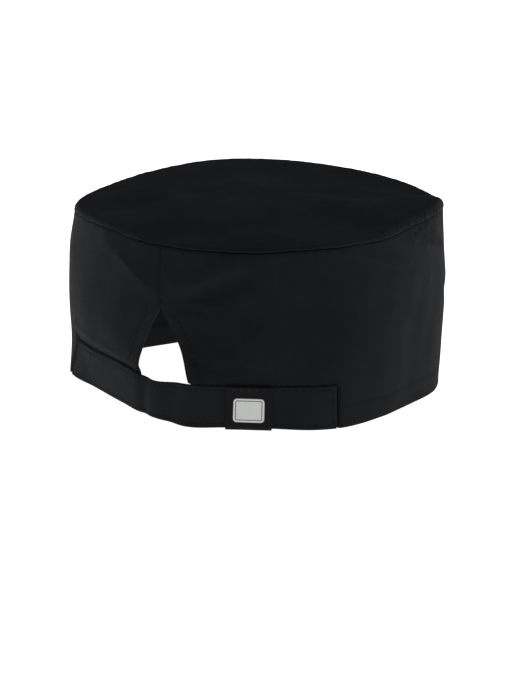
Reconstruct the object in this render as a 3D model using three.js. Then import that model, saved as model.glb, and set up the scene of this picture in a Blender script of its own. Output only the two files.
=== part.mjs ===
// A chef's skull cap: a round cloth cap with a deep side band, a nearly flat crown,
// and an open notch at the back that a strap bridges and draws in.
// Millimetres, +Z up. The rim stands on z = 0, the front is -Y and the back is +Y.
// Angles are in degrees round the cap, from the back centre (0) towards the
// wearer's right (90 is -X) and on round the front (180).

import * as THREE from 'three';
import { mergeVertices } from 'three/addons/utils/BufferGeometryUtils.js';

// The cap as a whole
const capWidth = 177; // side to side
const capLength = 191; // front to back
const bandHeight = 98.5; // rim to the crown's edge, at the front
const bandCloth = 2; // two layers of twill
const seating = 0.3; // clearance between pieces that touch

// The crown and its rolled edge
const crownCloth = 1.6;
const crownRise = 5; // centre of the crown above the mean height of its edge
const edgeRoll = 2.2; // usual radius of the rolled edge, which is its height above the seam
const allowance = 8; // cloth turned down inside the band
const overhang = 0.8; // the crown's edge stands this far outside the band's top
const overhangReach = 5; // height over which the band turns in under it

// The notch at the back
const notchHeight = 57;
const notchWidth = 42; // at the rim

// The strap across the notch, measured along the cap from the back centre
const strapWidth = 20.5;
const strapCloth = 1.8;
const strapLeft = 100; // to its sewn end, at the rim
const strapSlant = 16; // the sewn end slopes in by this towards the strap's upper edge
const strapRight = 87; // to its free end
const strapSag = 2.6; // its upper edge droops where nothing backs it
const sagPlace = -6; // middle of the droop
const sagReach = 16; // half width of the droop
const strapRelief = 15; // height over which the band bulges out above it
const strapFade = 9; // length over which the band bulges out past its ends

// The fastening tape under the strap's free end
const tapeThickness = 1.5;
const tapeLength = 25;
const tapeMargin = 3; // to the strap's edges and free end

// The label folded round the strap's lower edge
const labelCloth = 0.6;
const labelWidth = 21.5;
const labelPlace = 45.6; // back centre to the label's middle
const labelTuck = 9; // height of the leg behind the strap

// Folds and dents
const foldDepth = 4;
const dentDepth = 3;
const edgeFirmness = 8; // the higher, the closer to the crown's edge the dents run

// Plan of the cap in equal steps of angle: radii as shares of an oval of the cap's
// width and length, the height of the crown's edge as a share of bandHeight, and the
// radius of its roll as a share of edgeRoll.
const sections = [
  { rim: 0.96, edge: 0.96, height: 0.9, roll: 1 },
  { rim: 1.0, edge: 0.97, height: 0.898, roll: 1 },
  { rim: 1.05, edge: 1.01, height: 0.912, roll: 1 },
  { rim: 1.05, edge: 1.07, height: 0.945, roll: 1.3 },
  { rim: 1.0, edge: 1.04, height: 0.99, roll: 1.8 },
  { rim: 1.055, edge: 1.055, height: 1.0, roll: 1.8 },
  { rim: 1.06, edge: 1.05, height: 0.95, roll: 1.6 },
  { rim: 1.02, edge: 1.02, height: 0.966, roll: 1.1 },
  { rim: 1.0, edge: 1.01, height: 0.985, roll: 1 },
  { rim: 0.98, edge: 1.01, height: 1.0, roll: 1 },
  { rim: 0.96, edge: 1.03, height: 0.995, roll: 1 },
  { rim: 0.94, edge: 1.01, height: 0.97, roll: 1 },
  { rim: 1.0, edge: 1.01, height: 0.938, roll: 1.2 },
  { rim: 1.07, edge: 1.03, height: 0.918, roll: 1.5 },
  { rim: 0.91, edge: 0.99, height: 0.928, roll: 1.2 },
  { rim: 0.87, edge: 0.95, height: 0.925, roll: 1 },
];

// Half widths of the notch at equal steps up to its apex, as shares of notchWidth.
const notchEdges = [
  { left: 0.4, right: 0.57 },
  { left: 0.4, right: 0.475 },
  { left: 0.4, right: 0.385 },
  { left: 0.28, right: 0.305 },
  { left: 0.15, right: 0.165 },
  { left: 0, right: 0 },
];

// Folds of the band and strap: a line from one [angle, height] to another, heights and
// widths as shares of bandHeight, depth as a share of foldDepth (outwards above 0).
const wallFolds = [
  { name: 'left drag line', from: [-24, 0.84], to: [-2, 0.65], width: 0.06, depth: 0.24 },
  { name: 'left hollow', from: [-12, 0.84], to: [-3, 0.74], width: 0.06, depth: -0.1 },
  { name: 'right drag line', from: [22, 0.81], to: [6, 0.67], width: 0.05, depth: 0.34 },
  { name: 'right hollow', from: [26, 0.74], to: [8, 0.62], width: 0.06, depth: -0.36 },
  { name: 'back corner', from: [51, 0.78], to: [54, 0], width: 0.14, depth: 0.45 },
  { name: 'notch corner', from: [13, 0], to: [13, 0.22], width: 0.15, depth: 1.1 },
  { name: 'left bulge', from: [-60, 0.42], to: [-22, 0.38], width: 0.16, depth: 0.5 },
  { name: 'strap crease left', from: [-6, 0], to: [-6, 0.2], width: 0.04, depth: -0.3 },
  { name: 'strap crease right', from: [4, 0], to: [5, 0.2], width: 0.05, depth: -0.25 },
  { name: 'left shoulder', from: [270, 0.7], to: [308, 0.7], width: 0.18, depth: 0.6 },
  { name: 'right bulge', from: [100, 0.38], to: [128, 0.5], width: 0.24, depth: 0.3 },
  { name: 'front hollow', from: [214, 0.3], to: [222, 0.62], width: 0.2, depth: -0.5 },
];

// Dents of the crown: place as shares of half the cap's width (towards +X) and
// length (towards +Y), reach as a share of capLength, depth as a share of dentDepth.
const crownDents = [
  { name: 'left back dip', x: 0.6, y: 0.45, reach: 0.1, depth: -1 },
  { name: 'left ridge', x: 0.3, y: 0.62, reach: 0.09, depth: 0.4 },
  { name: 'front slack', x: -0.2, y: -0.35, reach: 0.26, depth: -0.5 },
  { name: 'right slack', x: -0.65, y: 0.35, reach: 0.14, depth: -0.4 },
];

// Steps of the faceted surfaces
const columnCount = 84;
const lowerRises = [0, 0.1, 0.24, 0.38, 0.48, 0.58, 0.68, 0.78, 0.9, 1]; // up to the notch's apex
const upperRises = [0.25, 0.5, 0.7, 0.86, 0.95, 1]; // from there to the seam
const crownRings = [0, 0.18, 0.36, 0.54, 0.7, 0.84, 0.94];
const rollSteps = 3;
const notchSpread = 54; // degrees beside the notch over which columns crowd together
const strapColumns = 64;
const strapRows = [0, 0.35, 0.7, 1];
const labelColumns = 8;
const tapeColumns = 10;

const weld = 1e-4; // corners this close are one corner

const circle = 360;
const perDegree = (Math.PI * (capWidth + capLength)) / 2 / circle; // length along the cap

const clamp = (value) => Math.min(1, Math.max(0, value));
const ease = (value) => clamp(value) ** 2 * (3 - 2 * clamp(value));
const bell = (distance, width) => Math.exp(-((distance / width) ** 2));
const mix = (from, to, share) => from + (to - from) * share;
const turned = (angle) => ((((angle + 180) % circle) + circle) % circle) - 180;

// Smooth curve through four equally spaced values, between the middle two.
function curve([before, from, to, after], share) {
  const bend = 2 * before - 5 * from + 4 * to - after;
  const twist = 3 * (from - to) + after - before;
  return from + 0.5 * share * (to - before + share * (bend + share * twist));
}

// Value of a column of the sections at any angle.
function around(column, angle) {
  const count = sections.length;
  const place = ((((angle % circle) + circle) % circle) / circle) * count;
  const first = Math.floor(place);
  const values = [-1, 0, 1, 2].map((step) => sections[(first + step + count) % count][column]);
  return curve(values, place - first);
}

// Angle of a side of the notch at a share of its height.
function notchAngle(side, share) {
  const last = notchEdges.length - 1;
  const place = clamp(share) * last;
  const first = Math.min(Math.floor(place), last - 1);
  const rows = [-1, 0, 1, 2].map((step) => notchEdges[Math.min(last, Math.max(0, first + step))]);
  return (notchWidth * curve(rows.map((row) => row[side]), place - first)) / perDegree;
}

function ovalRadius(angle) {
  const turn = THREE.MathUtils.degToRad(angle);
  return 1 / Math.hypot(Math.sin(turn) / (capWidth / 2), Math.cos(turn) / (capLength / 2));
}

const edgeHeight = (angle) => bandHeight * around('height', angle);
const rollRadius = (angle) => edgeRoll * around('roll', angle);
const seamHeight = (angle) => edgeHeight(angle) - rollRadius(angle);

function foldAt(fold, angle, height) {
  const alongX = (fold.to[0] - fold.from[0]) * perDegree;
  const alongY = (fold.to[1] - fold.from[1]) * bandHeight;
  const hereX = turned(angle - fold.from[0]) * perDegree;
  const hereY = height - fold.from[1] * bandHeight;
  const share = clamp((hereX * alongX + hereY * alongY) / (alongX ** 2 + alongY ** 2));
  const distance = Math.hypot(hereX - share * alongX, hereY - share * alongY);
  return foldDepth * fold.depth * bell(distance, fold.width * bandHeight);
}

// Radius of the cap's outer skin, strap and crown edge included.
function skinRadius(angle, height) {
  const rise = clamp(height / edgeHeight(angle));
  const share = mix(around('rim', angle), around('edge', angle), 1 - (1 - rise) ** 2);
  const folds = wallFolds.reduce((sum, fold) => sum + foldAt(fold, angle, height), 0);
  return ovalRadius(angle) * share + folds;
}

// Room between the strap and the band: the tape's on the right, a seam's on the left.
function standOff(angle) {
  const share = ease(0.5 + (turned(angle) * perDegree) / notchWidth);
  return mix(seating, tapeThickness + 2 * seating, share);
}

// Place of the strap's sewn end at a share of the strap's width.
const sewnPlace = (share) => strapSlant * clamp(share) - strapLeft;

// How far the strap presses the band inwards.
function pressed(angle, height) {
  const along = turned(angle) * perDegree;
  const sewnEnd = sewnPlace(height / strapWidth);
  const past = Math.max(along - strapRight, sewnEnd - along) / strapFade;
  const above = (height - strapWidth) / strapRelief;
  return (strapCloth + standOff(angle)) * (1 - ease(past)) * (1 - ease(above));
}

// Outer radius of the band. It turns in under the crown's edge.
function bandRadius(angle, height) {
  const tuck = overhang * bell(seamHeight(angle) - height, overhangReach);
  return skinRadius(angle, height) - pressed(angle, height) - tuck;
}

function point(angle, radius, height) {
  const turn = THREE.MathUtils.degToRad(angle);
  return new THREE.Vector3(-radius * Math.sin(turn), radius * Math.cos(turn), height);
}

// A closed body from a grid of paired points: columns of [outer, inner] pairs, set
// side by side towards the wearer's right, each rising along its outer side. Columns
// that meet are welded, and rows that shrink to a point close by themselves.
function thickSheet(columns) {
  const corners = [];
  const quad = (a, b, c, d) => corners.push(a, c, b, a, d, c);
  const rows = columns[0].length;
  for (let i = 0; i + 1 < columns.length; i += 1) {
    const here = columns[i];
    const next = columns[i + 1];
    for (let j = 0; j + 1 < rows; j += 1) {
      quad(here[j][0], here[j + 1][0], next[j + 1][0], next[j][0]);
      quad(here[j][1], next[j][1], next[j + 1][1], here[j + 1][1]);
    }
    quad(here[0][0], next[0][0], next[0][1], here[0][1]);
    quad(here[rows - 1][0], here[rows - 1][1], next[rows - 1][1], next[rows - 1][0]);
  }
  const first = columns[0];
  const last = columns[columns.length - 1];
  for (let j = 0; j + 1 < rows; j += 1) {
    const meets = first[j][0].distanceTo(last[j][0]) + first[j + 1][0].distanceTo(last[j + 1][0]);
    if (meets > weld) {
      quad(first[j][0], first[j][1], first[j + 1][1], first[j + 1][0]);
      quad(last[j][0], last[j + 1][0], last[j + 1][1], last[j][1]);
    }
  }
  return weldedGeometry(corners);
}

function weldedGeometry(corners) {
  const merged = mergeVertices(new THREE.BufferGeometry().setFromPoints(corners), weld);
  const index = merged.getIndex().array;
  const faces = [];
  for (let i = 0; i < index.length; i += 3) {
    const [a, b, c] = [index[i], index[i + 1], index[i + 2]];
    if (a !== b && b !== c && c !== a) faces.push(a, b, c);
  }
  merged.setIndex(faces);
  merged.computeVertexNormals();
  return merged;
}

const steps = (count) => Array.from({ length: count + 1 }, (_, i) => i / count);

// The band runs once round the cap, from the notch's right side to its left side.
function sideBand() {
  const columns = steps(columnCount).map((share) => {
    const angle = circle * share;
    const rightShare = clamp(1 - angle / notchSpread) ** 2;
    const leftShare = clamp(1 - (circle - angle) / notchSpread) ** 2;
    const column = lowerRises.map((rise) => {
      const shift = rightShare * notchAngle('right', rise) - leftShare * notchAngle('left', rise);
      return [angle + shift, rise * notchHeight];
    });
    const top = seamHeight(angle) - seating;
    upperRises.forEach((rise) => column.push([angle, mix(notchHeight, top, rise)]));
    return column.map(([at, height]) => {
      const radius = bandRadius(at, height);
      return [point(at, radius, height), point(at, radius - bandCloth, height)];
    });
  });
  return thickSheet(columns);
}

function crownHeight(angle, ring) {
  const middle = (bandHeight * sections.reduce((sum, row) => sum + row.height, 0)) / sections.length;
  const flat = mix(middle + crownRise, edgeHeight(angle), ring ** 2);
  const { x, y } = point(angle, ring * skinRadius(angle, edgeHeight(angle)), 0);
  const dents = crownDents.reduce((sum, dent) => {
    const distance = Math.hypot(x - (dent.x * capWidth) / 2, y - (dent.y * capLength) / 2);
    return sum + dentDepth * dent.depth * bell(distance, dent.reach * capLength);
  }, 0);
  return flat + dents * (1 - ring ** edgeFirmness);
}

// The crown: its panel from the centre out, the rolled edge over the band, and the
// allowance down inside the band.
function crown() {
  const columns = steps(columnCount).map((share) => {
    const angle = circle * share;
    const edge = skinRadius(angle, edgeHeight(angle));
    const roll = rollRadius(angle);
    const seam = seamHeight(angle);
    const low = seam - allowance;
    const throat = Math.min(bandRadius(angle, seam), bandRadius(angle, low));
    const inside = throat - bandCloth - seating;
    const column = crownRings.map((ring) => {
      const height = crownHeight(angle, ring);
      const radius = ring * (edge - roll);
      return [point(angle, radius, height), point(angle, radius, height - crownCloth)];
    });
    const bend = point(angle, inside - crownCloth, edgeHeight(angle) - crownCloth);
    steps(rollSteps).forEach((step) => {
      const turn = (step * Math.PI) / 2;
      const radius = edge - roll * (1 - Math.sin(turn));
      column.push([point(angle, radius, seam + roll * Math.cos(turn)), bend]);
    });
    column.push([point(angle, inside, seam), bend]);
    column.push([point(angle, inside, low), point(angle, inside - crownCloth, low)]);
    return column.reverse();
  });
  return thickSheet(columns);
}

// The strap's lower edge is at the rim's level, and rises to let the label pass under.
function strapFoot(angle) {
  const past = Math.abs(angle * perDegree - labelPlace) - labelWidth / 2;
  return (labelCloth + seating) * (1 - ease(past / labelWidth));
}

function strapTop(angle) {
  const sag = strapSag * bell(angle * perDegree - sagPlace, sagReach);
  return strapWidth + labelCloth + seating - sag;
}

function strap() {
  const columns = steps(strapColumns).map((share) => {
    return strapRows.map((row) => {
      const angle = mix(sewnPlace(row), strapRight, share) / perDegree;
      const height = mix(strapFoot(angle), strapTop(angle), row);
      const radius = skinRadius(angle, height);
      return [point(angle, radius, height), point(angle, radius - strapCloth, height)];
    });
  });
  return thickSheet(columns);
}

function fasteningTape() {
  const end = strapRight - tapeMargin;
  const columns = steps(tapeColumns).map((share) => {
    const angle = mix(end - tapeLength, end, share) / perDegree;
    return [strapFoot(angle) + tapeMargin, strapTop(angle) - tapeMargin].map((height) => {
      const radius = skinRadius(angle, height) - strapCloth - seating;
      return [point(angle, radius, height), point(angle, radius - tapeThickness, height)];
    });
  });
  return thickSheet(columns);
}

// The label runs down the strap's face, under its lower edge and up behind it.
function label() {
  const columns = steps(labelColumns).map((share) => {
    const angle = (labelPlace + labelWidth * (share - 0.5)) / perDegree;
    const face = (height) => skinRadius(angle, height) + seating;
    const back = (height) => skinRadius(angle, height) - strapCloth - seating;
    const pair = (outer, inner) => [point(angle, ...outer), point(angle, ...inner)];
    const top = strapTop(angle);
    const tuck = strapFoot(angle) + labelTuck;
    const middle = top / 2;
    return [
      pair([back(tuck) - labelCloth, tuck], [back(tuck), tuck]),
      pair([back(labelCloth) - labelCloth, labelCloth], [back(labelCloth), labelCloth]),
      pair([back(labelCloth), 0], [back(labelCloth), labelCloth]),
      pair([face(labelCloth), 0], [face(labelCloth), labelCloth]),
      pair([face(labelCloth) + labelCloth, labelCloth], [face(labelCloth), labelCloth]),
      pair([face(middle) + labelCloth, middle], [face(middle), middle]),
      pair([face(top) + labelCloth, top], [face(top), top]),
    ];
  });
  return thickSheet(columns);
}

function piece(name, geometry, color, roughness) {
  const material = new THREE.MeshStandardMaterial({ color, roughness, metalness: 0 });
  const mesh = new THREE.Mesh(geometry, material);
  mesh.name = name;
  return mesh;
}

const cap = new THREE.Group();
cap.add(piece('side_band', sideBand(), 0x1a1b1e, 0.92));
cap.add(piece('crown', crown(), 0x18191c, 0.92));
cap.add(piece('strap', strap(), 0x1b1c1f, 0.9));
cap.add(piece('fastening_tape', fasteningTape(), 0x0f0f10, 0.95));
cap.add(piece('label', label(), 0x202124, 0.7));

export default cap;
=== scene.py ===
"""The looks of a black chef's skull cap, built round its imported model.

Metres, +Z up, the back of the cap at +Y. Angles are degrees round the cap, from the
back centre (0) towards the wearer's right (90 is -X) and on round the front (180).
"""
import math
import bmesh
import bpy
import numpy as np
from mathutils import Matrix, Vector


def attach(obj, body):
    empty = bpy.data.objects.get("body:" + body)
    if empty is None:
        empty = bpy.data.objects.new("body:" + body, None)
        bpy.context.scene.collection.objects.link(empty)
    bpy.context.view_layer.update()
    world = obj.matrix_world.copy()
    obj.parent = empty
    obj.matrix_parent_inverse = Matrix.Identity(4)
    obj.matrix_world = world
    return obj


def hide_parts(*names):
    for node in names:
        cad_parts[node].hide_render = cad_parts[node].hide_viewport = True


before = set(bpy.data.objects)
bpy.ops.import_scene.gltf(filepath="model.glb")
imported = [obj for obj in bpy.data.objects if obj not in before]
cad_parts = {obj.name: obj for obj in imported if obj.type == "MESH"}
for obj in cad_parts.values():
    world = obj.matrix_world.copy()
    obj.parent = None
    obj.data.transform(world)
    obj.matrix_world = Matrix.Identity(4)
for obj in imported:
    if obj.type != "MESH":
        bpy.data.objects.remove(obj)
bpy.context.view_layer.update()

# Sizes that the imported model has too
CAP_WIDTH = 0.177
CAP_LENGTH = 0.191
BAND_HEIGHT = 0.0985
SEATING = 0.0003
CROWN_RISE = 0.005
EDGE_ROLL = 0.0022
ALLOWANCE = 0.008
NOTCH_HEIGHT = 0.057
NOTCH_WIDTH = 0.042
STRAP_WIDTH = 0.0205
STRAP_CLOTH = 0.0018
STRAP_LEFT = 0.1
STRAP_SLANT = 0.016
STRAP_RIGHT = 0.087
STRAP_SAG = 0.0026
SAG_PLACE = -0.006
SAG_REACH = 0.016
TAPE_THICKNESS = 0.0015
TAPE_LENGTH = 0.025
LABEL_CLOTH = 0.0006
LABEL_WIDTH = 0.0215
LABEL_PLACE = 0.0456
LABEL_TUCK = 0.009
FOLD_DEPTH = 0.004
DENT_DEPTH = 0.003
PER_DEGREE = math.pi * (CAP_WIDTH + CAP_LENGTH) / 2 / 360

# Sizes that only the finished cloth shows
CLOTH = 0.0013
HEM_CLOTH = 0.0019
HEM_HEIGHT = 0.012
NOTCH_FACING = 0.0075  # width of the cloth that is turned in along the notch
FACING_RISE = 0.004  # how far that cloth goes on above the notch's apex
FOLD_STEP = 0.0008  # length over which a turned-in layer thins out
SEAM_WANDER = 0.0002
OVERHANG = 0.0003  # of the crown's edge over the wall
OVERHANG_REACH = 0.0015
TURN_IN = 0.0004  # of the wall's top, more gently
TURN_IN_REACH = 0.012
CONTACT = 0.00008  # from the band's top to the crown's seam
SEAM_ROOM = 0.0003  # more room above the band's top, inside the seam
ROLL_UNDER = 0.37  # share of its radius by which the rolled edge turns in under itself
TURN_RADIUS = 0.0006  # of the allowance's small folds inside the crown

# How the band, pressed in by the strap, comes back out round it
STRAP_TUCK = 0.001  # starts so far under the strap's free end and past its sewn end
TOP_TUCK = 0.00155  # and so far under its top
STRAP_FADE = 0.0026  # length beyond the strap's ends
STRAP_BRIM = 0.0024  # height above the strap for most of it
BRIM_SHARE = 0.86
STRAP_RELIEF = 0.015  # height above the strap for the rest
TAPE_ROOM = 0.0006  # more room behind the tape, for the slack of the finished cloth

# Stitching, and the channels that it presses into the cloth
STITCH_INSET = 0.0022  # from the strap's edges
HEM_STITCH = 0.0012  # from the hem's upper edge
NOTCH_STITCH = 0.0062  # from the notch's edges
SEWN_BOX = 0.014  # length of the crossed stitching at the strap's sewn end
STITCH_PITCH = 0.0031
STITCH_LENGTH = 0.0023
THREAD = 0.00032
SUNK = 0.0002  # depth of a stitching line below the cloth's face
BAND_CHANNEL = 0.0009  # half width of the band's channels
STRAP_CHANNEL = 0.0007
SEAM_DEPTH = 0.0004  # depths of the channels
NOTCH_DEPTH = 0.0002
STRAP_DEPTH = 0.00018
HEM_DEPTH = 0.0001

# The plain patch on the label
PATCH_SIZE = (0.0145, 0.0115)
PATCH_CORNER = 0.0018
PATCH_HEIGHT = 0.0098  # of its middle above the strap's lower edge
PATCH_LINE = 0.0011  # from the patch's edge to the thin line round it
PATCH_LINE_WIDTH = 0.00022
PATCH_FRAY = 0.00012
PATCH_BLUR = 0.00006

# Mesh of the band: its columns and rows, and the rows near the strap's top
COLUMN_STEP = 0.00128
ROW_STEP = 0.0012
FINE_ROWS = np.arange(-0.0012, 0.0027, 0.0003)
UPPER_ROWS = 34
NOTCH_SPREAD = 54  # degrees from the notch over which the columns give way to it

WAVE_PERIOD = math.pi / 10  # a wave texture of scale 1 repeats at this length
WALE_PITCH = 0.0007
NAP_GLOSS = 0.05
NAP_SHEEN = 0.045
LEVEL_FROM, LEVEL_TO = 0.6, 0.96  # upward part of the normal between which cloth counts as level

# Soft lights: name, place, size, power in watts
LIGHTS = [
    ("left_soft", (1.3, 0.05, 0.5), (1.1, 1.0), 8.4),
    ("right_soft", (-1.3, -0.5, 0.5), (0.9, 1.0), 9.2),
    ("top_soft", (0.1, -0.9, 1.2), (1.0, 1.0), 4),
    ("back_soft", (-0.35, 1.4, 0.22), (1.2, 0.4), 2.1),
]
LIGHT_AIM = (0, 0, 0.05)

# Plan in equal steps of angle: radii as shares of the oval, heights of BAND_HEIGHT,
# and the radius of the crown's rolled edge as shares of EDGE_ROLL
SECTIONS = {
    "rim": [
        0.96, 1.0, 1.05, 1.05, 1.0, 1.055, 1.06, 1.02,
        1.0, 0.98, 0.96, 0.94, 1.0, 1.07, 0.91, 0.87,
    ],
    "edge": [
        0.96, 0.97, 1.01, 1.07, 1.04, 1.055, 1.05, 1.02,
        1.01, 1.01, 1.03, 1.01, 1.01, 1.03, 0.99, 0.95,
    ],
    "height": [
        0.9, 0.898, 0.912, 0.945, 0.99, 1.0, 0.95, 0.966,
        0.985, 1.0, 0.995, 0.97, 0.938, 0.918, 0.928, 0.925,
    ],
    "roll": [1, 1, 1, 1.3, 1.8, 1.8, 1.6, 1.1, 1, 1, 1, 1, 1.2, 1.5, 1.2, 1],
}

# Half widths of the notch at equal steps up to its apex, as shares of NOTCH_WIDTH
NOTCH_LEFT = [0.4, 0.4, 0.4, 0.28, 0.15, 0]
NOTCH_RIGHT = [0.57, 0.475, 0.385, 0.305, 0.165, 0]

# Folds: from (angle, height) to (angle, height), width, depth; heights and widths are
# shares of BAND_HEIGHT, depths of FOLD_DEPTH, outwards above 0
WALL_FOLDS = [
    ((-24, 0.84), (-2, 0.65), 0.06, 0.24),
    ((-12, 0.84), (-3, 0.74), 0.06, -0.1),
    ((22, 0.81), (6, 0.67), 0.05, 0.34),
    ((26, 0.74), (8, 0.62), 0.06, -0.36),
    ((51, 0.78), (54, 0), 0.14, 0.45),
    ((13, 0), (13, 0.22), 0.15, 1.1),
    ((-60, 0.42), (-22, 0.38), 0.16, 0.5),
    ((-7.5, 0), (-7, 0.2), 0.04, -0.3),
    ((4, 0), (5, 0.2), 0.05, -0.25),
    ((270, 0.7), (308, 0.7), 0.18, 0.6),
    ((100, 0.38), (128, 0.5), 0.24, 0.3),
    ((214, 0.3), (222, 0.62), 0.2, -0.5),
]

# The finer creases of the finished cloth, in the same terms
CREASES = [
    ((7, 0.565), (14, 0.575), 0.016, -0.12),
    ((7, 0.6), (17, 0.61), 0.02, 0.1),
    ((12, 0.335), (19, 0.285), 0.02, -0.14),
    ((20, 0.31), (34, 0.27), 0.03, -0.1),
    ((-9, 0.84), (-1, 0.74), 0.08, 0.1),
    ((-20, 0.8), (-3, 0.66), 0.07, -0.1),
    ((-18, 0.79), (-6, 0.67), 0.016, 0.1),
    ((23, 0.79), (10, 0.69), 0.02, 0.08),
    ((-52, 0.3), (-20, 0.26), 0.03, 0.12),
    ((60, 0.86), (66, 0.82), 0.012, 0.1),
    ((83.5, 0.895), (86, 0.86), 0.012, 0.16),
    ((87, 0.89), (95, 0.82), 0.012, 0.22),
    ((88.5, 0.915), (97.5, 0.83), 0.011, -0.14),
    ((90, 0.91), (101, 0.81), 0.013, 0.28),
    ((92.5, 0.92), (106, 0.79), 0.012, -0.14),
    ((94, 0.925), (112, 0.77), 0.014, 0.3),
    ((70, 0.8), (84, 0.76), 0.022, 0.07),
    ((88, 0.7), (99, 0.64), 0.03, 0.08),
    ((120, 0.5), (134, 0.56), 0.05, -0.15),
    ((150, 0.72), (165, 0.66), 0.05, 0.14),
    ((186, 0.42), (201, 0.5), 0.05, 0.15),
    ((236, 0.62), (252, 0.55), 0.05, -0.16),
    ((262, 0.3), (276, 0.36), 0.04, 0.12),
]

# Dents of the crown: x and y (shares of half the width and length), reach, depth
CROWN_DENTS = [
    (0.6, 0.45, 0.1, -1.5),
    (0.3, 0.62, 0.09, 0.4),
    (-0.2, -0.35, 0.26, -0.5),
    (-0.65, 0.35, 0.14, -0.4),
]

# Loose waves of the cloth: depth and wavelength in metres, seed
WALL_SLACK = [(0.00035, 0.06, 3), (0.0001, 0.022, 4)]
CROWN_SLACK = [(0.0006, 0.07, 11), (0.0002, 0.024, 12)]

# Where the crown's seam gathers the cloth: angle, half width in degrees, depth in metres
GATHERS = [
    (92, 24, 0.0006),
    (250, 26, 0.0002),
    (-48, 20, 0.00018),
    (160, 50, 0.0001),
]
GATHER_WAVES = [(43, 1.7, 0.4), (79, 2.9, 0.4), (113, 4.1, 0.3)]  # waves round, phase, share
GATHER_SLANT = 1.0
GATHER_DROP = 0.011  # length over which the pleats die out


def bell(distance, width):
    return np.exp(-((distance / width) ** 2))


def ease(value):
    value = np.clip(value, 0, 1)
    return value * value * (3 - 2 * value)


def turned(angle):
    return (angle + 180) % 360 - 180


def curve(before, start, end, after, share):
    """Smooth curve through four equally spaced values, between the middle two."""
    bend = 2 * before - 5 * start + 4 * end - after
    twist = 3 * (start - end) + after - before
    return start + 0.5 * share * (end - before + share * (bend + share * twist))


def around(column, angle):
    values = np.array(SECTIONS[column])
    place = (angle % 360) / 360 * len(values)
    first = np.floor(place).astype(int)
    rows = [values[(first + step) % len(values)] for step in (-1, 0, 1, 2)]
    return curve(*rows, place - first)


def notch_angle(widths, height):
    """Angle of a side of the notch at a height."""
    widths = np.array(widths)
    last = len(widths) - 1
    place = np.clip(height / NOTCH_HEIGHT, 0, 1) * last
    first = np.minimum(np.floor(place).astype(int), last - 1)
    rows = [widths[np.clip(first + step, 0, last)] for step in (-1, 0, 1, 2)]
    return NOTCH_WIDTH * curve(*rows, place - first) / PER_DEGREE


def oval_radius(angle):
    turn = np.radians(angle)
    return 1 / np.hypot(np.sin(turn) / (CAP_WIDTH / 2), np.cos(turn) / (CAP_LENGTH / 2))


def edge_height(angle):
    return BAND_HEIGHT * around("height", angle)


def roll_radius(angle):
    return EDGE_ROLL * around("roll", angle)


def seam_height(angle):
    """Height of the crown's seam, which wanders a little."""
    turn = np.radians(angle)
    wander = np.sin(9 * turn + 0.4) + 0.7 * np.sin(17 * turn + 2.1) + 0.5 * np.sin(31 * turn)
    return edge_height(angle) - roll_radius(angle) + SEAM_WANDER * wander


def fold_height(fold, angle, height):
    (angle_0, height_0), (angle_1, height_1), width, depth = fold
    along = np.array([(angle_1 - angle_0) * PER_DEGREE, (height_1 - height_0) * BAND_HEIGHT])
    here_x = turned(angle - angle_0) * PER_DEGREE
    here_y = height - height_0 * BAND_HEIGHT
    share = np.clip((here_x * along[0] + here_y * along[1]) / (along @ along), 0, 1)
    distance = np.hypot(here_x - share * along[0], here_y - share * along[1])
    return FOLD_DEPTH * depth * bell(distance, width * BAND_HEIGHT)


def ripples(x, y, z, wavelength, seed, waves=10):
    """Smooth irregular waves through space, about 1 high."""
    rng = np.random.default_rng(seed)
    total = 0
    for _ in range(waves):
        way = rng.normal(size=3)
        way *= 2 * math.pi / wavelength / np.linalg.norm(way) * rng.uniform(0.6, 1.4)
        total = total + np.sin(way[0] * x + way[1] * y + way[2] * z + rng.uniform(0, 2 * math.pi))
    return total / math.sqrt(waves / 2)


def slack(waves, x, y, z):
    return sum(depth * ripples(x, y, z, length, seed) for depth, length, seed in waves)


def gathers(angle, drop, reach=GATHER_DROP):
    """Uneven pleats that the crown's seam draws into the cloth, slanting as they fall."""
    turn = np.radians(angle)
    strength = sum(depth * bell(turned(angle - middle), spread) for middle, spread, depth in GATHERS)
    slanted = turn - GATHER_SLANT * np.sin(turn) * drop / (CAP_WIDTH / 2)
    wander = 1.5 * np.sin(5 * turn + 1) + 1.1 * np.sin(11 * turn)
    pleats = sum(
        share * np.sin(count * slanted + phase + wander) for count, phase, share in GATHER_WAVES
    )
    return strength * pleats * np.exp(-drop / reach)


def skin_radius(angle, height):
    """Radius of the cap's outer skin, strap and crown edge included."""
    rise = np.clip(height / edge_height(angle), 0, 1)
    rim, edge = around("rim", angle), around("edge", angle)
    radius = oval_radius(angle) * (rim + (edge - rim) * (1 - (1 - rise) ** 2))
    turn = np.radians(angle)
    x, y = -radius * np.sin(turn), radius * np.cos(turn)
    for fold in WALL_FOLDS + CREASES:
        radius = radius + fold_height(fold, angle, height)
    loose = slack(WALL_SLACK, x, y, height)
    return radius + loose + gathers(angle, np.abs(seam_height(angle) - height))


def stand_off(angle):
    """Room between the strap and the band: the tape's on the right, a seam's on the left."""
    share = ease(0.5 + turned(angle) * PER_DEGREE / NOTCH_WIDTH)
    return SEATING + (TAPE_THICKNESS + SEATING + TAPE_ROOM) * share


def sewn_place(share):
    """Place of the strap's sewn end at a share of the strap's width."""
    return STRAP_SLANT * np.clip(share, 0, 1) - STRAP_LEFT


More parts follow.
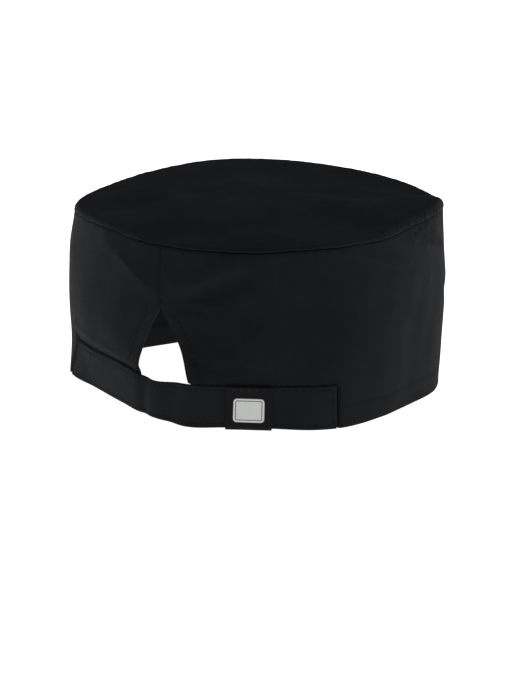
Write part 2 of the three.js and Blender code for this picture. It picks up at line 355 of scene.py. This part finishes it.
def band_radius(angle, height):
    """Outer radius of the band, pressed in by the strap and turned in under the crown's edge."""
    along = turned(angle) * PER_DEGREE
    beyond_free = along - STRAP_RIGHT + STRAP_TUCK
    beyond_sewn = sewn_place(height / STRAP_WIDTH) - along - STRAP_TUCK
    past = np.maximum(beyond_free, beyond_sewn) / STRAP_FADE
    above = height - strap_top(turned(angle)) + TOP_TUCK
    left_of_notch = ease(-turned(angle) / 20)
    brim = STRAP_BRIM * (1 + 2 * left_of_notch)
    relief = BRIM_SHARE * ease(above / brim) + (1 - BRIM_SHARE) * ease(above / STRAP_RELIEF)
    pressed = (STRAP_CLOTH + stand_off(angle)) * (1 - ease(past)) * (1 - relief)
    drop = seam_height(angle) - height
    fullness = 0.75 + 1.3 * bell(turned(angle) - 26, 26) + 0.25 * np.sin(7 * np.radians(angle) + 2)
    tuck = OVERHANG * fullness * bell(drop, OVERHANG_REACH) + TURN_IN * bell(drop, TURN_IN_REACH)
    return skin_radius(angle, height) - pressed - tuck


def shell(radius_at, angle, height):
    """Points and outward normals of a wall whose radius is radius_at(angle, height)."""
    step, rise = 0.05, 0.0001
    radius = radius_at(angle, height)
    turn = np.radians(angle)
    outward = np.stack([-np.sin(turn), np.cos(turn), 0 * turn], -1)
    onward = np.stack([-np.cos(turn), -np.sin(turn), 0 * turn], -1)
    upward = np.array([0, 0, 1.0])
    around_rise = radius_at(angle + step, height) - radius_at(angle - step, height)
    around_slope = around_rise / (2 * math.radians(step)) / radius
    up_slope = (radius_at(angle, height + rise) - radius_at(angle, height - rise)) / (2 * rise)
    normal = outward - around_slope[..., None] * onward - up_slope[..., None] * upward
    normal /= np.linalg.norm(normal, axis=-1, keepdims=True)
    return radius[..., None] * outward + height[..., None] * upward, normal


def rounded(distance, thickness):
    """Share of the full thickness at a distance from a rounded edge."""
    share = np.clip(distance / (thickness / 2), 0, 1)
    return np.sqrt(np.clip(1 - (1 - share) ** 2, 0, 1))


def graded(length, step, edge=0.001):
    """Places along a length, close together within an edge's width of both ends."""
    fine = edge * np.array([0, 0.06, 0.22, 0.46, 0.74])
    middle = np.linspace(edge, length - edge, max(2, round((length - 2 * edge) / step) + 1))
    return np.concatenate([fine, middle, length - fine[::-1]])


def quads(grid):
    """The corners of each square of a grid of indices."""
    corners = [grid[:-1, :-1], grid[1:, :-1], grid[1:, 1:], grid[:-1, 1:]]
    return np.stack(corners, -1).reshape(-1, 4)


def thick_cloth(name, outer, inner, flat):
    """A closed mesh from two grids of points, columns by rows, joined along their four sides.

    Its inner side is given the second material.
    """
    columns, rows = outer.shape[:2]
    index = np.arange(columns * rows).reshape(columns, rows)
    other = index + columns * rows
    faces = [
        quads(index)[:, ::-1],
        quads(other),
        np.stack([index[:-1, 0], index[1:, 0], other[1:, 0], other[:-1, 0]], -1),
        np.stack([index[:-1, -1], other[:-1, -1], other[1:, -1], index[1:, -1]], -1),
        np.stack([index[0, :-1], other[0, :-1], other[0, 1:], index[0, 1:]], -1),
        np.stack([index[-1, :-1], index[-1, 1:], other[-1, 1:], other[-1, :-1]], -1),
    ]
    inner_side = 1
    sides = np.concatenate([np.full(len(part), k == inner_side) for k, part in enumerate(faces)])
    faces = np.concatenate(faces)
    points = np.concatenate([outer.reshape(-1, 3), inner.reshape(-1, 3)])
    flat = np.concatenate([flat.reshape(-1, 2), flat.reshape(-1, 2)])
    return welded_mesh(name, points, faces, flat, sides)


def welded_mesh(name, points, faces, flat, sides=None):
    mesh = bpy.data.meshes.new(name)
    mesh.from_pydata(points.tolist(), [], faces.tolist())
    if sides is not None:
        mesh.polygons.foreach_set("material_index", sides.astype(np.int32))
    uv = mesh.uv_layers.new(name="cloth")
    corners = np.empty(len(mesh.loops), dtype=np.int32)
    mesh.loops.foreach_get("vertex_index", corners)
    uv.data.foreach_set("uv", flat[corners].astype(np.float32).ravel())
    work = bmesh.new()
    work.from_mesh(mesh)
    bmesh.ops.remove_doubles(work, verts=work.verts, dist=1e-6)
    bmesh.ops.dissolve_degenerate(work, edges=work.edges, dist=1e-7)
    bmesh.ops.recalc_face_normals(work, faces=work.faces)
    work.to_mesh(mesh)
    work.free()
    mesh.polygons.foreach_set("use_smooth", [True] * len(mesh.polygons))
    piece = bpy.data.objects.new(name, mesh)
    bpy.context.scene.collection.objects.link(piece)
    return piece


def finish_piece(piece, material, slot, *nodes, inside_material=None):
    """Gives a piece its material, its inner side's where that differs, and its place in the part."""
    piece.data.materials.append(material)
    piece.data.materials.append(inside_material or material)
    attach(piece, "root")
    if nodes:
        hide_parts(*nodes)
    return piece


class Nodes:
    """Short ways to add and join shader nodes."""

    def __init__(self, name):
        self.material = bpy.data.materials.new(name)
        self.material.use_nodes = True
        self.tree = self.material.node_tree
        self.shader = self.tree.nodes["Principled BSDF"]

    def add(self, kind, **inputs):
        node = self.tree.nodes.new(kind)
        for key, value in inputs.items():
            self.set(node, key, value)
        return node

    def set(self, node, key, value):
        numbered = key[0] == "_" and key[1:].isdigit()
        place = node.inputs[int(key[1:]) if numbered else key]
        if isinstance(value, bpy.types.NodeSocket):
            self.tree.links.new(value, place)
        else:
            place.default_value = value

    def math(self, operation, first, second=0.0, third=0.5):
        node = self.add("ShaderNodeMath", _0=first, _1=second, _2=third)
        node.operation = operation
        return node.outputs[0]

    def blend(self, share, start, end):
        """A value that goes from start to end as the share goes from 0 to 1."""
        node = self.add("ShaderNodeMapRange", Value=share)
        node.inputs["To Min"].default_value = start
        node.inputs["To Max"].default_value = end
        return node.outputs[0]

    def mix(self, share, first, second):
        """A colour that goes from the first to the second as the share goes from 0 to 1."""
        node = self.tree.nodes.new("ShaderNodeMix")
        node.data_type = "RGBA"
        for place, value in (("_0", share), ("_6", first), ("_7", second)):
            self.set(node, place, value)
        return node.outputs[2]

    def wave(self, vector, period, angle=0.0, distortion=0.0):
        """Parallel threads, a period in metres apart."""
        turn = self.add("ShaderNodeMapping", Vector=vector)
        turn.inputs["Rotation"].default_value = (0, 0, math.radians(angle))
        wave = self.add("ShaderNodeTexWave", Vector=turn.outputs[0], Distortion=distortion)
        wave.inputs["Scale"].default_value = WAVE_PERIOD / period
        wave.inputs["Detail"].default_value = 1
        return wave.outputs["Fac"]

    def noise(self, vector, size, detail=3.0, roughness=0.55):
        node = self.add("ShaderNodeTexNoise", Vector=vector, Detail=detail, Roughness=roughness)
        node.inputs["Scale"].default_value = 1 / size
        return node.outputs["Fac"]

    def ramp(self, factor, stops):
        node = self.add("ShaderNodeValToRGB", Fac=factor)
        elements = node.color_ramp.elements
        while len(elements) < len(stops):
            elements.new(0.5)
        for element, (place, color) in zip(elements, stops):
            element.position = place
            element.color = (*color, 1)
        return node.outputs["Color"]

    def bump(self, height, distance, strength=1.0, normal=None):
        node = self.add("ShaderNodeBump", Height=height, Distance=distance, Strength=strength)
        if normal is not None:
            self.set(node, "Normal", normal)
        return node.outputs["Normal"]


def twill(name, dark, light, slope=58, level_nap=1.0, level_painted_light=1.0):
    """Fine black twill: diagonal wales of yarn, faint unevenness, and a soft nap.

    Where the cloth lies level, its nap is pressed down to a share of itself, and its colour
    is painted lighter by the factor given, as painted light on the cloth that faces up.
    """
    n = Nodes(name)
    flat = n.add("ShaderNodeUVMap").outputs["UV"]
    wales = n.wave(flat, WALE_PITCH, slope, 0.6)
    weft = n.wave(flat, WALE_PITCH * 0.62, 0, 0.4)
    weave = n.math("ADD", wales, n.math("MULTIPLY", weft, 0.35))
    place = n.add("ShaderNodeTexCoord").outputs["Object"]
    cloud = n.noise(place, 0.03, 4, 0.6)
    slub = n.noise(place, 0.004, 3, 0.6)
    tone = n.math("MULTIPLY", cloud, 0.7)
    tone = n.math("ADD", tone, n.math("MULTIPLY", slub, 0.25))
    tone = n.math("ADD", tone, n.math("MULTIPLY", weave, 0.12))
    upright = n.add("ShaderNodeSeparateXYZ", Vector=n.add("ShaderNodeNewGeometry").outputs["Normal"])
    level = n.add("ShaderNodeMapRange", Value=upright.outputs["Z"])
    level.inputs["From Min"].default_value = LEVEL_FROM
    level.inputs["From Max"].default_value = LEVEL_TO
    color = n.ramp(tone, [(0.3, dark), (0.8, light)])
    shade = n.add("ShaderNodeVectorMath", _0=color)
    shade.operation = "SCALE"
    # painted light: the base colour grows lighter where the cloth faces up
    n.set(shade, "Scale", n.blend(level.outputs[0], 1, level_painted_light))
    n.set(n.shader, "Base Color", shade.outputs[0])
    rough = n.add("ShaderNodeMapRange", Value=slub)
    rough.inputs["To Min"].default_value = 0.78
    rough.inputs["To Max"].default_value = 0.95
    n.set(n.shader, "Roughness", rough.outputs[0])
    soft = n.bump(n.noise(place, 0.0045, 3, 0.55), 0.00025, 0.5)
    n.set(n.shader, "Normal", n.bump(weave, 0.00012, 0.7, soft))
    for key, nap in (("Specular IOR Level", NAP_GLOSS), ("Sheen Weight", NAP_SHEEN)):
        if level_nap != 1:
            nap = n.blend(level.outputs[0], nap, nap * level_nap)
        n.set(n.shader, key, nap)
    n.shader.inputs["Sheen Roughness"].default_value = 0.28
    n.shader.inputs["Sheen Tint"].default_value = (0.82, 0.88, 1, 1)
    return n.material


def thread_material(name, color):
    """Twisted sewing thread."""
    n = Nodes(name)
    place = n.add("ShaderNodeTexCoord").outputs["Object"]
    fleck = n.noise(place, 0.0009, 2)
    n.set(n.shader, "Base Color", n.ramp(fleck, [(0.3, [c * 0.7 for c in color]), (0.7, color)]))
    n.set(n.shader, "Normal", n.bump(n.noise(place, 0.0003, 1), 0.00005, 0.6))
    n.shader.inputs["Roughness"].default_value = 0.8
    n.shader.inputs["Specular IOR Level"].default_value = 0.03
    return n.material


def tape_material():
    """The looped pile of touch tape."""
    n = Nodes("touch_tape_pile")
    place = n.add("ShaderNodeTexCoord").outputs["Object"]
    loops = n.add("ShaderNodeTexVoronoi", Vector=place, Scale=1500.0)
    distance = loops.outputs["Distance"]
    n.set(n.shader, "Base Color", n.ramp(distance, [(0.1, (0.012,) * 3), (0.7, (0.004,) * 3)]))
    n.set(n.shader, "Normal", n.bump(distance, 0.0004))
    n.shader.inputs["Roughness"].default_value = 0.9
    n.shader.inputs["Sheen Weight"].default_value = 0.4
    return n.material


def band_rows():
    """Heights of the band's rows up to the notch's apex, closer together at the strap's top."""
    rows = graded(NOTCH_HEIGHT, ROW_STEP)
    rows = rows[rows <= NOTCH_HEIGHT - FOLD_STEP]
    near_strap = STRAP_WIDTH + FINE_ROWS
    rows = rows[(rows < near_strap[0]) | (rows > near_strap[-1])]
    return np.sort(np.concatenate([rows, near_strap, [NOTCH_HEIGHT]]))


def side_band():
    """The band, with its rounded hem, the folded edges of the notch, and the seam above it."""
    base = graded(360 * PER_DEGREE, COLUMN_STEP) / PER_DEGREE
    lower = band_rows()
    upper = np.linspace(0, 1, UPPER_ROWS)[1:]
    top = seam_height(base) - CONTACT
    low_part = np.broadcast_to(lower, (len(base), len(lower)))
    high_part = NOTCH_HEIGHT + upper * (top[:, None] - NOTCH_HEIGHT)
    height = np.concatenate([low_part, high_part], 1)
    right_share = np.clip(1 - base / NOTCH_SPREAD, 0, 1)[:, None] ** 2
    left_share = np.clip(1 - (360 - base) / NOTCH_SPREAD, 0, 1)[:, None] ** 2
    right, left = notch_angle(NOTCH_RIGHT, height), notch_angle(NOTCH_LEFT, height)
    angle = base[:, None] + right_share * right - left_share * left

    from_right = np.abs(angle - right) * PER_DEGREE
    from_left = np.abs(360 - left - angle) * PER_DEGREE
    from_edge = np.minimum(from_right, from_left)
    from_seam = np.minimum(base, 360 - base)[:, None] * PER_DEGREE
    from_top = top[:, None] - height
    hem = ease((HEM_HEIGHT - height) / FOLD_STEP)
    facing = ease((NOTCH_FACING - from_edge) / FOLD_STEP)
    facing = facing * ease((NOTCH_HEIGHT + FACING_RISE - height) / 0.001)
    thickness = CLOTH + np.maximum(hem, facing) * (HEM_CLOTH - CLOTH)

    skin, normal = shell(band_radius, angle, height)
    open_edge = height < NOTCH_HEIGHT - 1e-6
    edge_share = np.where(open_edge, rounded(from_edge, CLOTH), 1)
    share = edge_share * rounded(height, HEM_CLOTH) * rounded(from_top, CLOTH / 2)
    seam_line = SEAM_DEPTH * bell(from_seam, BAND_CHANNEL) * ~open_edge
    hem_line = HEM_DEPTH * bell(height - HEM_HEIGHT + HEM_STITCH, BAND_CHANNEL)
    edge_line = NOTCH_DEPTH * bell(from_edge - NOTCH_STITCH, BAND_CHANNEL) * open_edge
    middle = skin - normal * (CLOTH / 2 + seam_line + hem_line + edge_line)[..., None]
    outer = middle + normal * (CLOTH / 2 * share)[..., None]
    inner = middle - normal * ((thickness - CLOTH / 2) * share)[..., None]
    flat = np.stack([angle * PER_DEGREE, height], -1)
    return thick_cloth("band_cloth", outer, inner, flat)


def crown_height(angle, ring, edge):
    middle = BAND_HEIGHT * np.mean(SECTIONS["height"])
    height = middle + CROWN_RISE + (edge_height(angle) - middle - CROWN_RISE) * ring**2
    turn = np.radians(angle)
    x, y = -ring * edge * np.sin(turn), ring * edge * np.cos(turn)
    dents = 0
    for dent_x, dent_y, reach, depth in CROWN_DENTS:
        distance = np.hypot(x - dent_x * CAP_WIDTH / 2, y - dent_y * CAP_LENGTH / 2)
        dents = dents + DENT_DEPTH * depth * bell(distance, reach * CAP_LENGTH)
    near_edge = (1 - ring) * edge
    pleats = gathers(angle, near_edge, GATHER_DROP / 4)
    return height + (dents + slack(CROWN_SLACK, x, y, 0 * x)) * (1 - ring**8) + pleats


def crown():
    """The crown's panel, its edge rolled over the seam, and the allowance inside the band."""
    angle = np.linspace(0, 360, 481)[:, None]
    skin = skin_radius(angle, edge_height(angle))
    seam = seam_height(angle)
    roll = roll_radius(angle)
    rings = np.concatenate([np.linspace(0, 0.9, 46), np.linspace(0.91, 1, 10)])[None]
    panel_radius = rings * (skin - roll)
    panel_height = crown_height(angle, rings, skin - roll)
    lift = panel_height[:, -1:] - seam
    turn = np.linspace(0, math.pi / 2 + math.asin(ROLL_UNDER), 11)[None][:, 1:]
    edge_radius = skin - roll + roll * np.sin(turn)
    under_edge = np.minimum(np.cos(turn) / ROLL_UNDER, 0)
    edge_rise = seam + lift * np.maximum(np.cos(turn), 0) - SEAM_ROOM * under_edge
    throat = np.minimum(band_radius(angle, seam), band_radius(angle, seam - ALLOWANCE))
    inside = throat - HEM_CLOTH - SEATING
    low = seam - ALLOWANCE
    tuck_radius = np.concatenate([inside + TURN_RADIUS, inside, inside, inside], 1)
    tuck_heights = [seam + SEAM_ROOM, seam - TURN_RADIUS, (seam + low) / 2, low + 0.0005]
    tuck_height = np.concatenate(tuck_heights, 1)
    hem_radii = [inside - 0.0002, inside - CLOTH / 2, inside - CLOTH + 0.0002]
    hem_radius = np.concatenate(hem_radii, 1)
    hem_height = np.concatenate([low + 0.0001, low, low + 0.0001], 1)
    rise_radius = np.concatenate([inside - CLOTH, inside - CLOTH, inside - CLOTH - 0.0008], 1)
    under = panel_height[:, -1:] - CLOTH
    rise_height = np.concatenate([low + TURN_RADIUS, (low + under) / 2, under - 0.0004], 1)
    back = rings[:, ::-1]
    back_radius = back * (inside - CLOTH - 0.003)
    back_height = crown_height(angle, back_radius / (skin - roll), skin - roll) - CLOTH
    radii = [panel_radius, edge_radius, tuck_radius, hem_radius, rise_radius, back_radius]
    heights = [panel_height, edge_rise, tuck_height, hem_height, rise_height, back_height]
    radius = np.concatenate(radii, 1)
    height = np.concatenate([part + 0 * angle for part in heights], 1)
    bearing = np.radians(angle)
    points = np.stack([-radius * np.sin(bearing), radius * np.cos(bearing), height], -1)
    columns, rows = points.shape[:2]
    index = np.arange(columns * rows).reshape(columns, rows)
    corners = [index[:-1, :-1], index[:-1, 1:], index[1:, 1:], index[1:, :-1]]
    faces = np.stack(corners, -1).reshape(-1, 4)
    flat = points[..., :2].reshape(-1, 2)
    return welded_mesh("crown_cloth", points.reshape(-1, 3), faces, flat)


def strap_foot(angle):
    past = np.abs(angle * PER_DEGREE - LABEL_PLACE) - LABEL_WIDTH / 2
    return (LABEL_CLOTH + SEATING) * (1 - ease(past / LABEL_WIDTH))


def strap_top(angle):
    sag = STRAP_SAG * bell(angle * PER_DEGREE - SAG_PLACE, SAG_REACH)
    return STRAP_WIDTH + LABEL_CLOTH + SEATING - sag


def strap():
    """The doubled strap, with rounded folded edges and a stitched channel near each."""
    length = STRAP_LEFT + STRAP_RIGHT
    share_along = (graded(length, 0.0009) / length)[:, None]
    share_up = graded(STRAP_WIDTH, 0.0009)[None] / STRAP_WIDTH
    start = sewn_place(share_up)
    along = start + (STRAP_RIGHT - start) * share_along
    angle = along / PER_DEGREE
    foot, top = strap_foot(angle), strap_top(angle)
    height = foot + (top - foot) * share_up
    skin, normal = shell(skin_radius, angle, height)
    from_long_edge = np.minimum(height - foot, top - height)
    slope = math.hypot(STRAP_SLANT, STRAP_WIDTH) / STRAP_WIDTH
    from_end = np.minimum((along - start) / slope, STRAP_RIGHT - along)
    from_edge = np.minimum(from_long_edge, from_end)
    share = rounded(from_edge, STRAP_CLOTH)
    channel = STRAP_DEPTH * bell(from_edge - STITCH_INSET, STRAP_CHANNEL)
    middle = skin - normal * STRAP_CLOTH / 2
    outer = middle + normal * ((STRAP_CLOTH / 2 - channel) * share)[..., None]
    inner = middle - normal * (STRAP_CLOTH / 2 * share)[..., None]
    flat = np.stack([angle * PER_DEGREE, height], -1)
    return thick_cloth("strap_cloth", outer, inner, flat)


def label():
    """The woven label, folded round the strap's lower edge."""
    along = LABEL_PLACE + graded(LABEL_WIDTH, 0.0006, 0.0003) - LABEL_WIDTH / 2
    angle = along[:, None] / PER_DEGREE
    reach = STRAP_CLOTH / 2 + SEATING + LABEL_CLOTH / 2
    foot, top = strap_foot(angle), strap_top(angle)
    bend = foot + STRAP_CLOTH / 2
    back_up = np.linspace(1, 0, 12)[None]
    face_up = np.linspace(0, 1, 34)[None]
    turn = np.linspace(-math.pi, 0, 14)[None][:, 1:-1]
    back_height = bend + (foot + LABEL_TUCK - bend) * back_up
    face_height = bend + (top - bend) * face_up
    bend_height = bend + reach * np.sin(turn)
    height = np.concatenate([back_height, bend_height + 0 * angle, face_height], 1)
    way_out = np.concatenate([-1 + 0 * back_height, np.cos(turn) + 0 * angle, 1 + 0 * face_height], 1)
    way_up = np.concatenate([0 * back_height, np.sin(turn) + 0 * angle, 0 * face_height], 1)
    angle = np.broadcast_to(angle, height.shape)
    skin, normal = shell(skin_radius, angle, np.maximum(height, 0))
    skin[..., 2] = height
    middle = skin + normal * (reach * way_out - STRAP_CLOTH / 2)[..., None]
    way = normal * way_out[..., None] + np.array([0, 0, 1.0]) * way_up[..., None]
    path = np.cumsum(np.linalg.norm(np.diff(middle, axis=1, prepend=middle[:, :1]), axis=-1), 1)
    from_end = np.minimum(path, path[:, -1:] - path)
    from_side = np.minimum(along - along[0], along[-1] - along)[:, None]
    half = LABEL_CLOTH / 2 * rounded(np.minimum(from_end, from_side + 0 * path), LABEL_CLOTH)
    outer, inner = middle + way * half[..., None], middle - way * half[..., None]
    flat = np.stack([along[:, None] - LABEL_PLACE + 0 * path, height], -1)
    return thick_cloth("label_cloth", outer, inner, flat)


def label_material():
    """Satin-woven black tape with a plain pale patch woven into its face."""
    n = Nodes("woven_label")
    flat = n.add("ShaderNodeUVMap").outputs["UV"]
    parts = n.add("ShaderNodeSeparateXYZ", Vector=flat)
    across = n.math("ABSOLUTE", parts.outputs["X"])
    up = n.math("ABSOLUTE", n.math("SUBTRACT", parts.outputs["Y"], PATCH_HEIGHT))
    box_x = n.math("SUBTRACT", across, PATCH_SIZE[0] / 2 - PATCH_CORNER)
    box_y = n.math("SUBTRACT", up, PATCH_SIZE[1] / 2 - PATCH_CORNER)
    far_x, far_y = n.math("MAXIMUM", box_x, 0.0), n.math("MAXIMUM", box_y, 0.0)
    beyond = n.math("SQRT", n.math("ADD", n.math("POWER", far_x, 2.0), n.math("POWER", far_y, 2.0)))
    distance = n.math("SUBTRACT", beyond, PATCH_CORNER)
    weft = n.wave(flat, 0.00032, 90, 0.3)
    warp = n.wave(flat, 0.00042, 0, 0.3)
    fray = n.math("MULTIPLY", n.math("SUBTRACT", weft, 0.5), PATCH_FRAY)
    inside = n.add("ShaderNodeMapRange", Value=n.math("ADD", distance, fray))
    inside.inputs["From Min"].default_value = PATCH_BLUR
    inside.inputs["From Max"].default_value = -PATCH_BLUR
    line = n.math("COMPARE", distance, -PATCH_LINE, PATCH_LINE_WIDTH)
    grain = n.math("MULTIPLY", weft, warp)
    ground = n.ramp(grain, [(0.1, (0.005, 0.005, 0.006)), (0.9, (0.010, 0.010, 0.012))])
    pale = n.ramp(grain, [(0.05, (0.5, 0.51, 0.5)), (0.7, (0.78, 0.79, 0.78))])
    lined = n.mix(line, pale, (0.12, 0.12, 0.125, 1))
    n.set(n.shader, "Base Color", n.mix(inside.outputs[0], ground, lined))
    n.set(n.shader, "Normal", n.bump(grain, 0.00008, 0.8))
    n.shader.inputs["Roughness"].default_value = 0.7
    n.shader.inputs["Specular IOR Level"].default_value = 0.08
    return n.material


def stitches(name, runs, material, slot):
    """Short raised threads along runs of points; each run is (points, normals)."""
    sides, rings = 6, 4
    points, faces = [], []
    for line, normals in runs:
        steps = np.linalg.norm(np.diff(line, axis=0), axis=1)
        place = np.concatenate([[0], np.cumsum(steps)])
        count = max(1, int(place[-1] / STITCH_PITCH))
        for k in range(count):
            centre_at = (k + 0.5) * place[-1] / count
            ends = np.array([centre_at - STITCH_LENGTH / 2, centre_at + STITCH_LENGTH / 2])
            tips = np.stack([np.interp(ends, place, line[:, i]) for i in range(3)], -1)
            out = np.array([np.interp(centre_at, place, normals[:, i]) for i in range(3)])
            out /= np.linalg.norm(out)
            way = (tips[1] - tips[0]) / np.linalg.norm(tips[1] - tips[0])
            side = np.cross(way, out)
            first = len(points)
            for ring in range(rings + 1):
                share = ring / rings
                swell = math.sin(math.pi * min(0.97, max(0.03, share))) ** 0.5
                centre = tips[0] + (tips[1] - tips[0]) * share + out * THREAD * (0.75 * swell - 0.45)
                for s in range(sides):
                    turn = 2 * math.pi * s / sides
                    rim = math.cos(turn) * side + 0.8 * math.sin(turn) * out
                    points.append(centre + THREAD * swell * rim)
            for ring in range(rings):
                for s in range(sides):
                    a, b = first + ring * sides + s, first + ring * sides + (s + 1) % sides
                    faces.append((a, b, b + sides, a + sides))
            faces.append(tuple(range(first + sides - 1, first - 1, -1)))
            faces.append(tuple(range(first + rings * sides, first + (rings + 1) * sides)))
    mesh = bpy.data.meshes.new(name)
    mesh.from_pydata([tuple(p) for p in points], [], faces)
    mesh.polygons.foreach_set("use_smooth", [True] * len(mesh.polygons))
    piece = bpy.data.objects.new(name, mesh)
    bpy.context.scene.collection.objects.link(piece)
    return finish_piece(piece, material, slot)


def strap_run(along, height_share, inset=0.0):
    """A stitching line on the strap's face: places along it and shares of its width."""
    angle = np.asarray(along) / PER_DEGREE
    foot, top = strap_foot(angle), strap_top(angle)
    height = foot + inset + (top - foot - 2 * inset) * height_share
    points, normal = shell(skin_radius, angle, height)
    return points - normal * SUNK, normal


def strap_stitching():
    inset = STITCH_INSET
    free = STRAP_RIGHT - inset
    label_ends = LABEL_PLACE + np.array([-1, 1]) * (LABEL_WIDTH / 2 + 0.0004)
    up = np.linspace(0, 1, 24)
    sewn = sewn_place(up) + 1.3 * inset
    runs = []
    for share in (0, 1):
        start = sewn[-1] if share else sewn[0]
        runs.append(strap_run(np.linspace(start, label_ends[0], 160), share, inset))
        runs.append(strap_run(np.linspace(label_ends[1], free, 80), share, inset))
    runs.append(strap_run(sewn, up, inset))
    runs.append(strap_run(sewn + SEWN_BOX, up, inset))
    runs.append(strap_run(sewn + SEWN_BOX * up, up, inset))
    runs.append(strap_run(sewn + SEWN_BOX * (1 - up), up, inset))
    for place in (free - TAPE_LENGTH, free):
        runs.append(strap_run(np.full(24, place), up, inset))
    return runs


def band_run(angle, height):
    points, normal = shell(band_radius, np.asarray(angle, float), np.asarray(height, float))
    return points - normal * SUNK, normal


def hem_stitching():
    height = HEM_HEIGHT - HEM_STITCH
    clear = 0.001
    past_strap = (STRAP_RIGHT + clear) / PER_DEGREE
    before_strap = 360 - (STRAP_LEFT + clear) / PER_DEGREE
    angle = np.linspace(past_strap, before_strap, 900)
    return [band_run(angle, np.full(len(angle), height))]


def notch_stitching():
    runs = []
    height = np.linspace(STRAP_WIDTH + 0.002, NOTCH_HEIGHT - 0.003, 60)
    inset = NOTCH_STITCH / PER_DEGREE
    runs.append(band_run(notch_angle(NOTCH_RIGHT, height) + inset, height))
    runs.append(band_run(-notch_angle(NOTCH_LEFT, height) - inset, height))
    return runs


def bartack():
    """Close stitches across the notch's apex."""
    rows, first, spacing, half_width = 7, 0.0006, 0.00045, 0.0016
    runs = []
    for k in range(rows):
        height = NOTCH_HEIGHT + first + spacing * k
        angle = np.linspace(-half_width, half_width, 6) / PER_DEGREE
        runs.append(band_run(angle, np.full(len(angle), height)))
    return runs


def label_stitching():
    along = np.linspace(-0.42, 0.42, 40) * LABEL_WIDTH + LABEL_PLACE
    angle = along / PER_DEGREE
    points, normal = shell(skin_radius, angle, strap_top(angle) - 0.0013)
    return [(points + normal * (SEATING + LABEL_CLOTH - 0.0001), normal)]


def camera():
    """The photograph's view: behind the cap, to its right and above, from far off."""
    aim = Vector((-0.002, 0.0105, 0.044))
    distance = 1.3
    round_it, above, roll = math.radians(29.53), math.radians(13.21), math.radians(1.22)
    frame_width, frame_height = 525, 700
    focal, centre_x, centre_y = 2567, 247.8, 300.3  # pixels
    level = math.cos(above)
    forward = Vector((math.sin(round_it) * level, -math.cos(round_it) * level, -math.sin(above)))
    right = Vector((-math.cos(round_it), -math.sin(round_it), 0))
    up = right.cross(forward)
    lean, hold = math.sin(roll), math.cos(roll)
    right, up = right * hold + up * lean, up * hold - right * lean
    data = bpy.data.cameras.new("camera")
    data.sensor_width = 36
    data.lens = focal / frame_height * data.sensor_width
    data.shift_x = (frame_width / 2 - centre_x) / frame_height
    data.shift_y = (centre_y - frame_height / 2) / frame_height
    view = bpy.data.objects.new("camera", data)
    turn = Matrix((right, up, -forward)).transposed().to_4x4()
    view.matrix_world = Matrix.Translation(aim - forward * distance) @ turn
    bpy.context.scene.collection.objects.link(view)
    bpy.context.scene.camera = view


def area_light(name, place, size, power):
    data = bpy.data.lights.new(name, "AREA")
    data.shape = "RECTANGLE"
    data.size, data.size_y = size
    data.energy = power
    light = bpy.data.objects.new(name, data)
    light.location = place
    light.rotation_mode = "QUATERNION"
    light.rotation_quaternion = (Vector(LIGHT_AIM) - Vector(place)).to_track_quat("-Z", "Y")
    bpy.context.scene.collection.objects.link(light)


def studio():
    """A white floor and surround, brighter from both sides and dimmer from the front."""
    bpy.context.scene.view_settings.view_transform = "Standard"
    bpy.ops.mesh.primitive_plane_add(size=16, location=(0, 0, -0.0002))
    floor = bpy.context.object
    floor.name = "floor"
    n = Nodes("floor_white")
    n.shader.inputs["Base Color"].default_value = (0.9, 0.9, 0.9, 1)
    n.shader.inputs["Roughness"].default_value = 0.9
    n.shader.inputs["Emission Color"].default_value = (1, 1, 1, 1)
    n.shader.inputs["Emission Strength"].default_value = 1.0
    floor.data.materials.append(n.material)
    world = bpy.data.worlds.new("surround")
    bpy.context.scene.world = world
    world.use_nodes = True
    world.node_tree.nodes["Background"].inputs["Color"].default_value = (1, 1, 1, 1)
    world.node_tree.nodes["Background"].inputs["Strength"].default_value = 0.2
    for light in LIGHTS:
        area_light(*light)


camera()
studio()

black = ((0.0051, 0.0055, 0.0064), (0.0098, 0.0106, 0.0121))
cap_twill = twill("cap_twill", *black)
# the crown's level top is painted 1.85 times as light, painted light on its upward face
crown_twill = twill("crown_twill", *black, slope=32, level_nap=0.08, level_painted_light=1.85)
strap_twill = twill("strap_twill", (0.0063, 0.0068, 0.0078), (0.0118, 0.0126, 0.0142))
# the cap's inside is painted about twice as light as the outside, painted light for its shaded inner
# side
painted_light_inner_twill = twill("painted_light_inner_twill", (0.0118, 0.0124, 0.0138), (0.0196, 0.0204, 0.0222))
thread = thread_material("black_thread", (0.0085, 0.009, 0.0102))
grey_thread = thread_material("grey_thread", (0.022, 0.022, 0.024))

finish_piece(side_band(), cap_twill, "cap_cloth", "side_band", inside_material=painted_light_inner_twill)
finish_piece(crown(), crown_twill, "crown_cloth", "crown")
finish_piece(strap(), strap_twill, "strap_cloth", "strap")
finish_piece(label(), label_material(), "woven_label", "label")
stitches("strap_stitches", strap_stitching(), thread, "strap_cloth")
stitches("hem_stitches", hem_stitching(), thread, "cap_cloth")
stitches("notch_stitches", notch_stitching(), thread, "cap_cloth")
stitches("bartack", bartack(), thread, "cap_cloth")
stitches("label_stitches", label_stitching(), grey_thread, "woven_label")
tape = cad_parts["fastening_tape"]
for place in tape.material_slots:
    place.material = tape_material()
